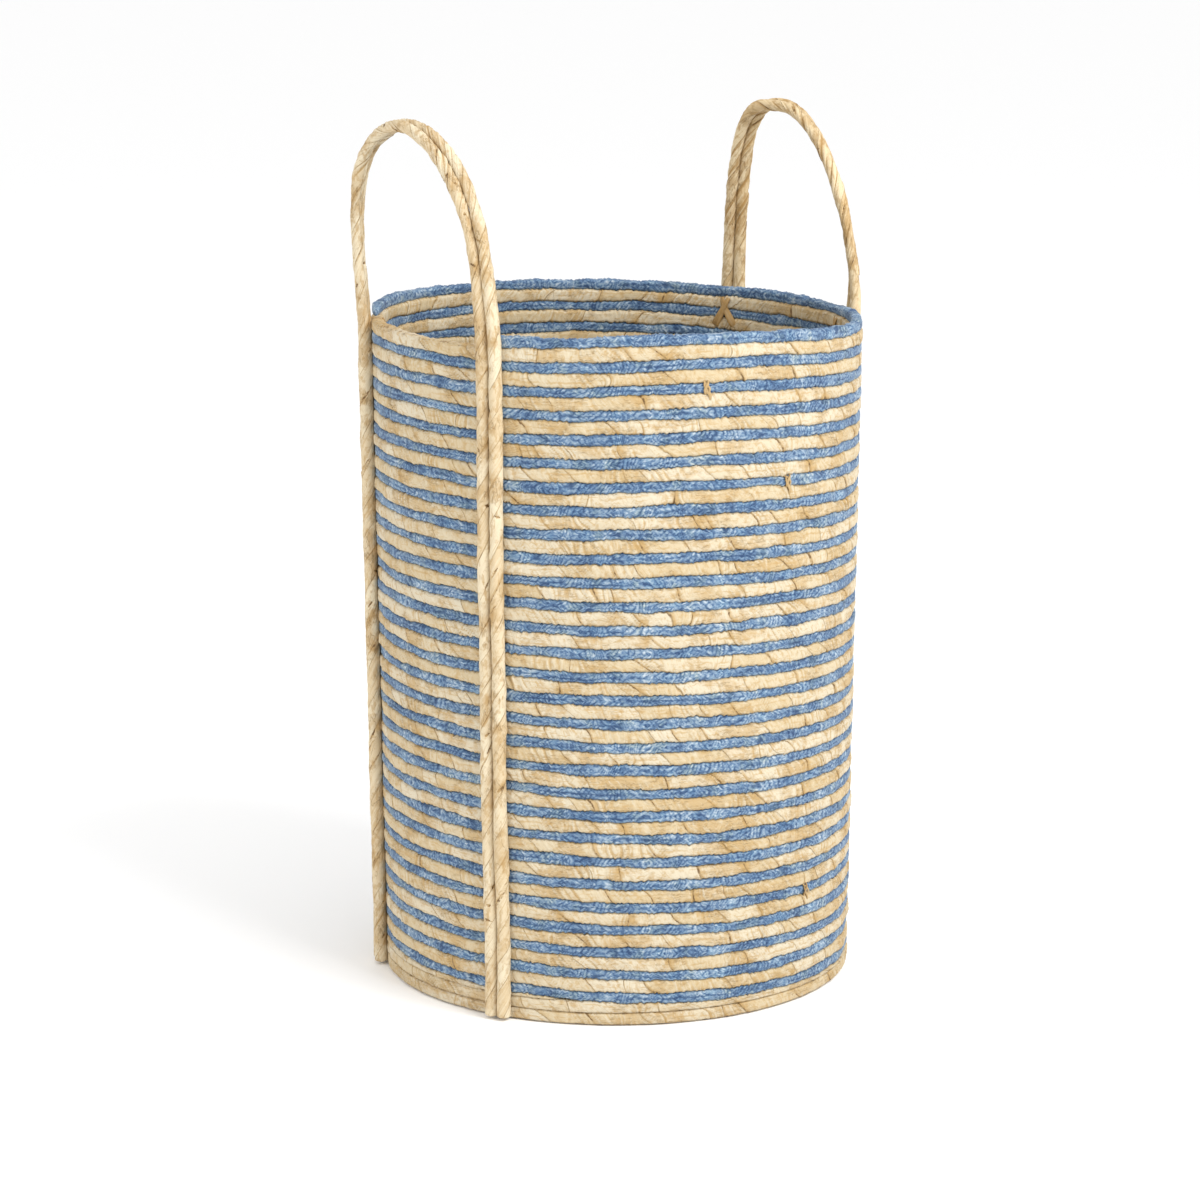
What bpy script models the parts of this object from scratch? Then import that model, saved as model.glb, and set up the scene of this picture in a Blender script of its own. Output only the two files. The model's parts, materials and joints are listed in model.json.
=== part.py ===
"""Round woven laundry basket: rope courses laid in turn, one husk and one blue, with two rope handles.

Run with: blender --background --python part.py
Metres, +Z up. The origin is on the floor at the middle of the base. The handles face +X and -X.

The wall is a stack of closed rope courses. Each rope length makes two courses and steps over
the one course of the other colour that lies between them: a husk rope steps over on the
outside, a blue rope on the inside. The courses lean: the stack stands on a wedge-shaped foot.
Each handle is a pair of husk cords, sewn to the outside of the wall as two legs and free above
the rim as a loop, which flops inward and outward about the line through the tops of its legs.
"""

import math

import bmesh
import bpy
from mathutils import Vector

# ---------------------------------------------------------------- driving dimensions
RIM_RADIUS = 0.2000          # outer face of the wall at the rim
FOOT_RADIUS = 0.1930         # outer face of the wall at the floor
HUSK_COURSE = 0.01035        # height of one natural husk course
BLUE_COURSE = 0.0082         # height of one blue course
HUSK_COURSES = 28            # husk courses between the 29 blue ones
ROPE_THICKNESS = 0.0100      # wall thickness at a husk course
BLUE_INSET = 0.0010          # the thinner blue rope lies this far in from both wall faces
FOOT_HEIGHT = 0.0190         # mean height of the wedge-shaped husk foot
LEAN = 0.034                 # rise of the courses per metre across the basket
LEAN_AZIMUTH = math.radians(148.5)   # the side where the courses stand highest
RIM_RISE = 0.0050            # the rim also rises this much to one side and falls to the other
SWELL_HEIGHT = 0.0080        # and swells by this much more between two legs on that side
SWELL_AZIMUTH = math.radians(-97.0)
SWELL_HALF_WIDTH = math.radians(60.0)
SWELL_GROWTH = 1.5           # how fast the rise and the swell fade towards the foot

SEGMENTS = 24                # flats in one turn of rope
GAP = 0.0003                 # between pieces that touch
STEP_WIDTH = 0.012           # a rope is flattened where it steps over a course
STEP_THICKNESS = 0.0022
STEP_BITE = 0.0015           # how far a step is let into its own courses

CORD_RADIUS = 0.0055         # one of the two cords of a handle, where it lies on the wall
LOOP_CORD_RADIUS = 0.0048    # and in the free loop, where it is drawn tighter
CORD_SIDES = 8
# The left handle (-1) is at -X and the right one (1) at +X, each a little off the axis.
HANDLE_AZIMUTHS = {-1: math.radians(182.0), 1: math.radians(7.5)}
LEG_HALF_ANGLES = {-1: math.radians(27.6), 1: math.radians(21.8)}
LEG_FOOT_HEIGHT = 0.0012
HINGE_CLEARANCE = 0.0035     # room for the cord ends to turn over the rim and the legs
# Each loop's centre line at the top: how far it leans in, how far to the +Y side, its height.
LOOP_TOPS = {-1: (-0.0026, 0.0198, 0.7063), 1: (-0.0072, 0.0300, 0.6973)}
# Powers that shape each arch: across it, up it, and for its lean. 1 and 1 are an ellipse.
ARCH_POWERS = {-1: (1.136, 0.607, 1.0), 1: (0.771, 1.200, 1.79)}
TOP_TWIST = math.radians(95.0)       # turn of the pair of cords at the top of a loop
EARLY_TWIST = math.radians(17.0)     # the right loop's -Y side turns by this much just over the rim
EARLY_FADE = 0.05
LOOP_POINTS = 22

LASHING_WIDTH = 0.018
LASHING_HEIGHT = 0.026
LASHING_THICKNESS = 0.0024

HUSK_COLOUR = (0.66, 0.54, 0.37)
BLUE_COLOUR = (0.075, 0.125, 0.215)

# ---------------------------------------------------------------- sizes that follow
PAIR_HEIGHT = HUSK_COURSE + BLUE_COURSE
STACK_HEIGHT = HUSK_COURSES * PAIR_HEIGHT + BLUE_COURSE
WALL_HEIGHT = FOOT_HEIGHT + STACK_HEIGHT
FLAT = math.cos(math.pi / SEGMENTS)   # distance of a flat from the axis, over its corners' radius
STEP_ANGLE = 2 * math.pi / SEGMENTS

# Where the husk ropes step over on the front of the basket, by the number of the blue course
# that they cross. All the other husk steps are on the +Y side, out of sight.
FRONT_STEPS = {5: math.radians(-67.5), 23: math.radians(-82.5), 27: math.radians(-97.5)}


# ---------------------------------------------------------------- materials
def make_material(name, colour, roughness):
    """A Principled material with one colour and roughness."""
    material = bpy.data.materials.new(name)
    material.use_nodes = True
    shader = material.node_tree.nodes["Principled BSDF"]
    shader.inputs["Base Color"].default_value = (*colour, 1.0)
    shader.inputs["Roughness"].default_value = roughness
    shader.inputs["Metallic"].default_value = 0.0
    return material


# ---------------------------------------------------------------- the shape of the wall
def outer_radius(height):
    """Outer face of a husk course at a height over the floor."""
    part = height / WALL_HEIGHT
    return FOOT_RADIUS + (RIM_RADIUS - FOOT_RADIUS) * part


def course_height(level, angle):
    """Height over the floor of a point of the stack, level metres above the foot."""
    radius = outer_radius(FOOT_HEIGHT + level)
    lean = LEAN * radius * math.cos(angle - LEAN_AZIMUTH)
    away = math.remainder(angle - SWELL_AZIMUTH, 2 * math.pi)
    swell = RIM_RISE * math.cos(away)
    if abs(away) < SWELL_HALF_WIDTH:
        swell += SWELL_HEIGHT * (0.5 + 0.5 * math.cos(math.pi * away / SWELL_HALF_WIDTH))
    growth = (max(level, 0.0) / STACK_HEIGHT) ** SWELL_GROWTH
    return FOOT_HEIGHT + level + lean + swell * growth


def blue_bottom(number):
    """Level of the underside of blue course 1 to 29."""
    return (number - 1) * PAIR_HEIGHT


def husk_bottom(number):
    """Level of the underside of husk course 1 to 28, just over the blue course of that number."""
    return blue_bottom(number) + BLUE_COURSE


# ---------------------------------------------------------------- mesh helpers
def add_object(name, mesh, material, origin=(0.0, 0.0, 0.0)):
    """Links a mesh as a named object. Its vertices are given in world space."""
    origin = Vector(origin)
    for vertex in mesh.vertices:
        vertex.co -= origin
    mesh.materials.append(material)
    piece = bpy.data.objects.new(name, mesh)
    piece.location = origin
    bpy.context.scene.collection.objects.link(piece)
    return piece


def loft(rings, closed):
    """Mesh through rings of points. A closed loft is a torus, an open one has capped ends."""
    mesh = bpy.data.meshes.new("loft")
    shape = bmesh.new()
    loops = [[shape.verts.new(point) for point in ring] for ring in rings]
    count = len(loops)
    sides = len(loops[0])
    for index in range(count if closed else count - 1):
        near = loops[index]
        far = loops[(index + 1) % count]
        for side in range(sides):
            after = (side + 1) % sides
            shape.faces.new((near[side], near[after], far[after], far[side]))
    if not closed:
        shape.faces.new(loops[0][::-1])
        shape.faces.new(loops[-1])
    bmesh.ops.recalc_face_normals(shape, faces=shape.faces)
    if shape.calc_volume(signed=True) < 0:
        bmesh.ops.reverse_faces(shape, faces=shape.faces)
    shape.to_mesh(mesh)
    shape.free()
    return mesh


def section(angle, low, high, outer, inner):
    """The four corners of a course at an angle: outer low, outer high, inner high, inner low."""
    direction = Vector((math.cos(angle), math.sin(angle), 0.0))
    corners = ((outer, low), (outer, high), (inner, high), (inner, low))
    return [direction * radius + Vector((0.0, 0.0, height)) for radius, height in corners]


def course_mesh(bottom_level, height, inset):
    """One closed course of rope between its neighbours above and below."""
    rings = []
    for index in range(SEGMENTS):
        angle = index * STEP_ANGLE
        low = course_height(bottom_level, angle) + GAP / 2
        high = course_height(bottom_level + height, angle) - GAP / 2
        outer = outer_radius(low) - inset
        inner = outer_radius(low) - ROPE_THICKNESS + inset
        rings.append(section(angle, low, high, outer, inner))
    return loft(rings, closed=True)


def extrude_across(angle, outline):
    """An outline of (distance from the axis, height), extruded across the wall at an angle."""
    direction = Vector((math.cos(angle), math.sin(angle), 0.0))
    across = Vector((-math.sin(angle), math.cos(angle), 0.0))
    rings = []
    for side in (-STEP_WIDTH / 2, STEP_WIDTH / 2):
        ring = [direction * reach + across * side + Vector((0.0, 0.0, z)) for reach, z in outline]
        rings.append(ring)
    return loft(rings, closed=False)


def outer_step(angle, low, high, blue_face):
    """A husk rope's step over a blue course on the outside: a flat strap between its courses."""
    back = blue_face + GAP
    front = back + STEP_THICKNESS
    return extrude_across(angle, [(back, low), (front, low), (front, high), (back, high)])


def inner_step(angle, low, high, husk_face, blue_face):
    """A blue rope's step over a husk course on the inside: an upright with two short ends."""
    back = husk_face - GAP
    front = back - STEP_THICKNESS
    root = blue_face + STEP_BITE
    half = BLUE_COURSE * 0.3
    outline = [
        (front, low - half), (root, low - half), (root, low + half), (back, low + half),
        (back, high - half), (root, high - half), (root, high + half), (front, high + half),
    ]
    return extrude_across(angle, outline)


def united(name, meshes, material):
    """Joins meshes that bite into each other into one body."""
    base = add_object(name, meshes[0], material)
    for mesh in meshes[1:]:
        cutter = add_object(name + "_part", mesh, material)
        cutter.hide_render = True
        cutter.display_type = "WIRE"
        join = base.modifiers.new("join", "BOOLEAN")
        join.operation = "UNION"
        join.solver = "EXACT"
        join.object = cutter
    return base


# ---------------------------------------------------------------- the wall
def middle_height(bottom_level, height, angle):
    """Height of a course's middle at an angle."""
    return course_height(bottom_level + height / 2, angle)


def husk_step_azimuth(crossed):
    """Where the husk rope that crosses a blue course on the outside does so."""
    return FRONT_STEPS.get(crossed, math.radians(67.5 + 15.0 * (crossed // 2 % 4)))


def build_husk_ropes(material):
    """Husk courses 1 to 28: one alone at each end of the stack, and the others in twos."""
    groups = [(1,)] + [(first, first + 1) for first in range(2, HUSK_COURSES, 2)] + [(HUSK_COURSES,)]
    for number, courses in enumerate(groups, start=1):
        meshes = [course_mesh(husk_bottom(course), HUSK_COURSE, 0.0) for course in courses]
        if len(courses) == 2:
            angle = husk_step_azimuth(courses[1])
            low = middle_height(husk_bottom(courses[0]), HUSK_COURSE, angle)
            high = middle_height(husk_bottom(courses[1]), HUSK_COURSE, angle)
            blue_face = (outer_radius(high) - BLUE_INSET) * FLAT
            meshes.append(outer_step(angle, low, high, blue_face))
        united(f"husk_rope_{number:02d}", meshes, material)


def build_blue_ropes(material):
    """Blue courses 1 to 28 in twos, each pair joined on the inside of the wall."""
    for number in range(1, HUSK_COURSES // 2 + 1):
        first = 2 * number - 1
        meshes = []
        for course in (first, first + 1):
            meshes.append(course_mesh(blue_bottom(course), BLUE_COURSE, BLUE_INSET))
        angle = math.radians(52.5 + 15.0 * (number % 5))
        low = middle_height(blue_bottom(first), BLUE_COURSE, angle)
        high = middle_height(blue_bottom(first + 1), BLUE_COURSE, angle)
        husk_face = (outer_radius(low) - ROPE_THICKNESS) * FLAT
        blue_face = (outer_radius(high) - ROPE_THICKNESS + BLUE_INSET) * FLAT
        meshes.append(inner_step(angle, low, high, husk_face, blue_face))
        united(f"blue_rope_{number:02d}", meshes, material)


def build_blue_rim(material):
    """The top blue course: it starts thin beside one leg and stops at the next, past the back."""
    start = math.radians(-150.0)
    turns = 20
    bottom_level = blue_bottom(HUSK_COURSES + 1)
    rings = []
    for index in range(turns + 1):
        angle = start + index * STEP_ANGLE
        part = min(1.0, 0.45 + 0.55 * index)
        low = course_height(bottom_level, angle) + GAP / 2
        high = low + (BLUE_COURSE - GAP) * part
        outer = outer_radius(low) - BLUE_INSET
        inner = outer_radius(low) - ROPE_THICKNESS + BLUE_INSET
        rings.append(section(angle, low, high, outer, inner))
    add_object("blue_rim_rope", loft(rings, closed=False), material)


def build_foot(material):
    """The wedge-shaped husk foot between the floor and the lowest blue course."""
    rings = []
    for index in range(SEGMENTS):
        angle = index * STEP_ANGLE
        high = course_height(0.0, angle) - GAP / 2
        rings.append(section(angle, 0.0, high, FOOT_RADIUS, FOOT_RADIUS - ROPE_THICKNESS))
    add_object("husk_foot_rope", loft(rings, closed=True), material)


def build_base(material):
    """The flat bottom: a coil of husk rope inside the foot."""
    radius = FOOT_RADIUS - ROPE_THICKNESS - GAP
    rings = []
    for height in (0.0, ROPE_THICKNESS):
        ring = []
        for index in range(SEGMENTS):
            angle = index * STEP_ANGLE
            ring.append(Vector((radius * math.cos(angle), radius * math.sin(angle), height)))
        rings.append(ring)
    add_object("base_coil", loft(rings, closed=False), material)


# ---------------------------------------------------------------- the handles
def tube(points, radius, round_ends=False):
    """A round cord along points, with flat ends or with half balls on them."""
    path = [Vector(point) for point in points]
    tangents = []
    for index in range(len(path)):
        before = path[max(index - 1, 0)]
        after = path[min(index + 1, len(path) - 1)]
        tangents.append((after - before).normalized())
    side = tangents[0].orthogonal().normalized()
    stations = []
    for index, tangent in enumerate(tangents):
        side = (side - tangent * side.dot(tangent)).normalized()
        stations.append((path[index], tangent, side.copy(), radius))
    if round_ends:
        stations = ball_end(stations[0], -1)[::-1] + stations + ball_end(stations[-1], 1)
    rings = []
    for centre, tangent, side, size in stations:
        other = tangent.cross(side)
        ring = []
        for index in range(CORD_SIDES):
            turn = 2 * math.pi * index / CORD_SIDES
            ring.append(centre + (side * math.cos(turn) + other * math.sin(turn)) * size)
        rings.append(ring)
    return loft(rings, closed=False)


def ball_end(station, sign):
    """Stations that round off the end of a cord, from the last full ring outward."""
    centre, tangent, side, radius = station
    stations = []
    for turn in (30.0, 62.0):
        turn = math.radians(turn)
        place = centre + tangent * sign * radius * math.sin(turn)
        stations.append((place, tangent, side, radius * math.cos(turn)))
    return stations


def hinge_height(facing):
    """Height of a handle's hinge line: the cords clear the rim at both of its legs."""
    heights = []
    for side in (-1, 1):
        angle = leg_angle(facing, side)
        heights.append(course_height(STACK_HEIGHT, angle))
    return max(heights) + HINGE_CLEARANCE + CORD_RADIUS


def handle_axes(facing):
    """Directions of a handle: away from the basket, and along its hinge towards +Y."""
    azimuth = HANDLE_AZIMUTHS[facing]
    away = Vector((math.cos(azimuth), math.sin(azimuth), 0.0))
    return away, Vector((0.0, 0.0, 1.0)).cross(away) * facing


def leg_angle(facing, side):
    """Azimuth of a leg. facing is 1 for the +X handle, side is 1 for its +Y leg."""
    return HANDLE_AZIMUTHS[facing] + facing * side * LEG_HALF_ANGLES[facing]


def leg_centre(facing, side, height):
    """Middle of a leg's two cords, which lie side by side against the wall."""
    angle = leg_angle(facing, side)
    radius = outer_radius(height) + GAP + CORD_RADIUS
    return Vector((radius * math.cos(angle), radius * math.sin(angle), height))


def cord_offset(radius):
    """Half the distance between the middles of two cords that lie side by side."""
    return radius + GAP / 2


def loop_centre(facing, part):
    """Centre line of a handle's loop at part 0 to 1, from its -Y to its +Y leg."""
    height = hinge_height(facing)
    start = leg_centre(facing, -1, height)
    end = leg_centre(facing, 1, height)
    away, along = handle_axes(facing)
    lean, skew, top = LOOP_TOPS[facing]
    across_power, up_power, lean_power = ARCH_POWERS[facing]
    turn = math.pi * (1.0 - part)
    across = math.copysign(abs(math.cos(turn)) ** across_power, math.cos(turn))
    up = abs(math.sin(turn)) ** up_power
    lift = up ** lean_power
    sideways = along * ((end - start).length / 2 * across + skew * lift)
    rise = Vector((0.0, 0.0, (top - height) * up))
    return (start + end) / 2 + sideways - away * lean * lift + rise


def pair_twist(facing, part):
    """Turn of a loop's two cords about each other: along the wall at the legs, inward at the top."""
    half_angle = LEG_HALF_ANGLES[facing]
    rise = 1.0 - abs(2.0 * part - 1.0)
    if facing > 0 and part < 0.5:
        early = EARLY_TWIST * (1.0 - math.exp(-rise / EARLY_FADE))
        return half_angle + early + (TOP_TWIST - half_angle - EARLY_TWIST) * rise ** 4
    return half_angle + (TOP_TWIST - half_angle) * rise


def loop_points(facing, outer):
    """Centre line of one cord of a loop. At the top the outer cord lies towards the inside."""
    away, along = handle_axes(facing)
    points = []
    for index in range(LOOP_POINTS + 1):
        part = 0.5 - 0.5 * math.cos(math.pi * index / LOOP_POINTS)
        part = 0.35 * part + 0.65 * index / LOOP_POINTS
        step = 0.004
        before = loop_centre(facing, max(part - step, 0.0))
        after = loop_centre(facing, min(part + step, 1.0))
        tangent = (after - before).normalized()
        normal = Vector((0.0, 0.0, tangent.dot(along))) - along * tangent.z
        twist = pair_twist(facing, part)
        offset = normal.normalized() * math.cos(twist) - away * math.sin(twist)
        sign = 1.0 if outer else -1.0
        points.append(loop_centre(facing, part) + offset * sign * cord_offset(LOOP_CORD_RADIUS))
    return points


def build_handle(facing, material):
    """One handle: two loop cords that move together, and the four cords of its legs."""
    label = "right" if facing > 0 else "left"
    height = hinge_height(facing)
    hinge = (leg_centre(facing, -1, height) + leg_centre(facing, 1, height)) / 2
    for outer in (True, False):
        cord = "outer" if outer else "inner"
        mesh = tube(loop_points(facing, outer), LOOP_CORD_RADIUS, round_ends=True)
        add_object(f"handle_{label}_loop_{cord}_cord", mesh, material, hinge)
    top = height - CORD_RADIUS - HINGE_CLEARANCE
    for side in (-1, 1):
        angle = leg_angle(facing, side)
        away = Vector((-math.sin(angle), math.cos(angle), 0.0)) * cord_offset(CORD_RADIUS)
        if away.y * side < 0:
            away = -away
        end = "a" if side > 0 else "b"
        for outer in (True, False):
            cord = "outer" if outer else "inner"
            shift = away if outer else -away
            bottom_centre = leg_centre(facing, side, LEG_FOOT_HEIGHT) + shift
            top_centre = leg_centre(facing, side, top) + shift
            mesh = tube([bottom_centre, top_centre], CORD_RADIUS)
            add_object(f"handle_{label}_leg_{end}_{cord}_cord", mesh, material)


def build_lashings(material):
    """A husk tie inside the rim behind each leg, where the leg is sewn through the wall."""
    for facing in (-1, 1):
        for side in (-1, 1):
            angle = leg_angle(facing, side)
            low = course_height(STACK_HEIGHT, angle) - BLUE_COURSE - LASHING_HEIGHT
            back = (outer_radius(low) - ROPE_THICKNESS) * FLAT - GAP
            direction = Vector((math.cos(angle), math.sin(angle), 0.0))
            across = Vector((-math.sin(angle), math.cos(angle), 0.0))
            rings = []
            for reach in (back - LASHING_THICKNESS, back):
                ring = []
                for x, z in ((-1, 0), (1, 0), (1, 1), (-1, 1)):
                    place = direction * reach + across * x * LASHING_WIDTH / 2
                    ring.append(place + Vector((0.0, 0.0, low + z * LASHING_HEIGHT)))
                rings.append(ring)
            label = "right" if facing > 0 else "left"
            end = "a" if side > 0 else "b"
            add_object(f"rim_lashing_{label}_{end}", loft(rings, closed=False), material)


def main():
    for piece in list(bpy.data.objects):
        bpy.data.objects.remove(piece, do_unlink=True)
    husk = make_material("husk", HUSK_COLOUR, 0.75)
    blue = make_material("blue_rope", BLUE_COLOUR, 0.9)
    build_base(husk)
    build_foot(husk)
    build_husk_ropes(husk)
    build_blue_ropes(blue)
    build_blue_rim(blue)
    for facing in (-1, 1):
        build_handle(facing, husk)
    build_lashings(husk)


main()
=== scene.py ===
"""Looks of the woven laundry basket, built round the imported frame.

Every rope course is a mesh of its own shape: husk courses with wrapped strips and seams, blue
courses as a fine braid. Each handle is two twisted husk cords that run in one piece from a leg,
over the loop, to the other leg.
"""
import json
import math

import bpy
import numpy as np
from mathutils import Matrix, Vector


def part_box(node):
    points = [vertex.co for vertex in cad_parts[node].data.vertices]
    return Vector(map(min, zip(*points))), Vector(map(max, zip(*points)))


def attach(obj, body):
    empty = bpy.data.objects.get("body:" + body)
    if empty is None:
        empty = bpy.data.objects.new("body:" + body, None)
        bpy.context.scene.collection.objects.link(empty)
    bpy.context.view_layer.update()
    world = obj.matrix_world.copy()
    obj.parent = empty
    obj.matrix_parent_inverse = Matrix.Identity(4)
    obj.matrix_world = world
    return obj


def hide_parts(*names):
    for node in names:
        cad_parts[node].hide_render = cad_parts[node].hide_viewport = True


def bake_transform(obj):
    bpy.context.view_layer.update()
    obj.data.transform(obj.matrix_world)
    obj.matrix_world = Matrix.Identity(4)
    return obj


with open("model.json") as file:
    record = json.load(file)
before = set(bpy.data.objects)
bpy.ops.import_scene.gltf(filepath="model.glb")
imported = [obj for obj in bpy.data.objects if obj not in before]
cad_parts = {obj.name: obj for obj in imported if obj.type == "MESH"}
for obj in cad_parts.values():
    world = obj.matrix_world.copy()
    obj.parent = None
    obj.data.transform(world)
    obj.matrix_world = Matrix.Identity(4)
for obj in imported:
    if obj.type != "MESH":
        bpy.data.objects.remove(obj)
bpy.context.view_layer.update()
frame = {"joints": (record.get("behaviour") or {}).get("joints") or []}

# -------------------- sizes, as in the frame
RIM_RADIUS = 0.2000
FOOT_RADIUS = 0.1930
HUSK_COURSE = 0.01035
BLUE_COURSE = 0.0082
HUSK_COURSES = 28
ROPE_THICKNESS = 0.0100
FOOT_HEIGHT = 0.0190
LEAN = 0.034                 # slope of the courses, up towards LEAN_AZIMUTH
LEAN_AZIMUTH = math.radians(148.5)
RIM_RISE = 0.0050            # the upper courses rise towards SWELL_AZIMUTH and swell there
SWELL_HEIGHT = 0.0080
SWELL_AZIMUTH = math.radians(-97.0)
SWELL_HALF_WIDTH = math.radians(60.0)
SWELL_GROWTH = 1.5
CORD_RADIUS = 0.0055
# The handles' values, by the way they face: -1 is the -X handle and 1 is the +X one.
LABELS = {-1: "left", 1: "right"}
HANDLE_AZIMUTHS = {-1: math.radians(182.0), 1: math.radians(7.5)}
LEG_HALF_ANGLES = {-1: math.radians(27.6), 1: math.radians(21.8)}
LOOP_TOPS = {-1: (-0.0026, 0.0198, 0.7063), 1: (-0.0072, 0.0300, 0.6973)}   # lean, skew, height
ARCH_POWERS = {-1: (1.136, 0.607, 1.0), 1: (0.771, 1.200, 1.79)}            # across, up, lean
TOP_TWIST = math.radians(95.0)      # turn of a loop's two cords about each other at its top
EARLY_TWIST = math.radians(17.0)    # of it, just over the right loop's -Y leg
EARLY_FADE = 0.05
LOOP_CORD_RADIUS = 0.0048           # the cords are drawn tighter where they are free of the wall
TIGHT_CORD_RADIUS = 0.0041

PAIR_HEIGHT = HUSK_COURSE + BLUE_COURSE
STACK_HEIGHT = HUSK_COURSES * PAIR_HEIGHT + BLUE_COURSE
WALL_HEIGHT = FOOT_HEIGHT + STACK_HEIGHT

# -------------------- fineness of the meshes
HUSK_STEP = 0.0008      # along a husk course
BLUE_STEP = 0.0008      # along a blue course
ROUND = 20                  # points round a rope
BASE_STEP = 0.0018      # along the bottom's coil
BASE_SIDES = 12                              # points round the rope of the bottom
CORD_STEP = 0.0010      # along a handle cord
CORD_ROUND = 36             # points round a handle cord
FINE = 8192                                  # steps of the finest noise along one turn
GRID = 2880                                  # angles at which the joints between courses are known

# -------------------- directions and places
TURN = 2 * np.pi


def unit(vectors):
    """Vectors of length 1 in the same directions."""
    return vectors / np.linalg.norm(vectors, axis=-1, keepdims=True)


def round_points(radius, angle, height):
    """Points at radii, angles and heights round the basket's axis."""
    return np.stack([radius * np.cos(angle), radius * np.sin(angle), height], -1)


# -------------------- smooth noise
def loop_noise(rng, count, low, high):
    """Smooth noise of unit size on a closed loop, with low to high waves in one turn."""
    spectrum = np.zeros(count // 2 + 1, complex)
    waves = np.arange(low, min(high, count // 2))
    spectrum[waves] = rng.normal(size=len(waves)) + 1j * rng.normal(size=len(waves))
    spectrum[waves] /= np.sqrt(waves)
    noise = np.fft.irfft(spectrum, count)
    return noise / max(noise.std(), 1e-9)


def column(rng, count, low, high):
    """Loop noise as a column, one value for each ring of a rope."""
    return loop_noise(rng, count, low, high)[:, None]


def on_loop(values, angle):
    """Values known at equal steps of one turn, read at any angle."""
    place = np.mod(angle, TURN) / TURN * len(values)
    index = np.floor(place).astype(int)
    part = place - index
    return values[index % len(values)] * (1 - part) + values[(index + 1) % len(values)] * part


# -------------------- the wall's shape
WOBBLES = ((0.00048, 3, 22), (0.00026, 22, 90), (0.00026, 130, 520))    # height, waves in a turn


def outer_radius(height):
    """Outer face of the wall at a height over the floor."""
    return FOOT_RADIUS + (RIM_RADIUS - FOOT_RADIUS) * height / WALL_HEIGHT


def course_height(level, angle):
    """Height over the floor of a point of the stack, level metres above the foot."""
    lean = LEAN * outer_radius(FOOT_HEIGHT + level) * np.cos(angle - LEAN_AZIMUTH)
    away = np.mod(angle - SWELL_AZIMUTH + np.pi, TURN) - np.pi
    bump = 0.5 + 0.5 * np.cos(np.pi * np.clip(away / SWELL_HALF_WIDTH, -1, 1))
    swell = RIM_RISE * np.cos(away) + SWELL_HEIGHT * bump
    growth = (max(level, 0.0) / STACK_HEIGHT) ** SWELL_GROWTH
    return FOOT_HEIGHT + level + lean + swell * growth


def make_joints():
    """Heights, round the basket, of the joints between courses, from the foot to the rim.

    Joint 2n is the underside of blue course n + 1, and joint 2n + 1 is its top.
    """
    rng = np.random.default_rng(11)
    angle = np.arange(GRID) * TURN / GRID
    joints = []
    for number in range(2 * HUSK_COURSES + 2):
        level = number // 2 * PAIR_HEIGHT + number % 2 * BLUE_COURSE
        wobble = sum(height * loop_noise(rng, GRID, low, high) for height, low, high in WOBBLES)
        joints.append(course_height(level, angle) + wobble)
    return joints


JOINTS = make_joints()


# -------------------- meshes from rope sections
class Rope:
    """Collects tubes given as rings of points, and makes one piece of them.

    Each point carries values for its material: see husk_relief and braid_relief.
    """

    NAMES = ("along", "wrap", "across", "seam", "tone", "crest", "pleat")

    def __init__(self):
        self.points = []
        self.quads = []
        self.ends = []
        self.values = {name: [] for name in self.NAMES}
        self.count = 0

    def add(self, rings, closed, values):
        """rings is (length, round, 3). Its values are (length, round) or broadcast to it."""
        length, sides = rings.shape[:2]
        index = np.arange(length * sides).reshape(length, sides) + self.count
        rows = index if closed else index[:-1]
        following = np.roll(index, -1, axis=0) if closed else index[1:]
        turned = np.roll(rows, -1, axis=1)
        far = np.roll(following, -1, axis=1)
        self.quads.append(np.stack([rows, turned, far, following], -1).reshape(-1, 4))
        if not closed:
            self.ends.append(index[0][::-1])
            self.ends.append(index[-1])
        self.points.append(rings.reshape(-1, 3))
        for name in self.NAMES:
            value = np.broadcast_to(values.get(name, 0.0), (length, sides))
            self.values[name].append(value.ravel())
        self.count += length * sides

    def build(self, name, material):
        """The object of everything added, smooth shaded, facing out."""
        points = np.concatenate(self.points)
        quads = np.concatenate(self.quads)
        lengths = [len(end) for end in self.ends]
        loops = np.concatenate([quads.ravel(), *self.ends]).astype(np.int32)
        sizes = np.concatenate([np.full(len(quads), 4), lengths]).astype(np.int32)
        mesh = bpy.data.meshes.new(name)
        mesh.vertices.add(len(points))
        mesh.vertices.foreach_set("co", points.astype(np.float32).ravel())
        mesh.loops.add(len(loops))
        mesh.loops.foreach_set("vertex_index", loops)
        mesh.polygons.add(len(sizes))
        starts = np.concatenate([[0], np.cumsum(sizes)[:-1]]).astype(np.int32)
        mesh.polygons.foreach_set("loop_start", starts)
        mesh.polygons.foreach_set("use_smooth", np.ones(len(sizes), bool))
        for key in self.NAMES:
            layer = mesh.attributes.new(key, "FLOAT", "POINT")
            layer.data.foreach_set("value", np.concatenate(self.values[key]).astype(np.float32))
        mesh.update(calc_edges=True)
        mesh.validate()
        mesh.materials.append(material)
        piece = bpy.data.objects.new(name, mesh)
        bpy.context.scene.collection.objects.link(piece)
        return piece

    def finish(self, node, how, material, slot, name=None):
        """Builds the piece and puts it on the basket's body in place of its CAD node.

        The piece is named by its node and how it is made, unless it has a name of its own.
        """
        piece = self.build(name or f"{node}_{how}", material)
        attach(piece, "basket")
        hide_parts(node)


def zigzag(turn):
    """A coordinate round a rope with no jump: 1 at the top, 0 at both faces, -1 underneath."""
    return np.arcsin(np.clip(np.sin(turn), -1, 1)) / (np.pi / 2)


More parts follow.
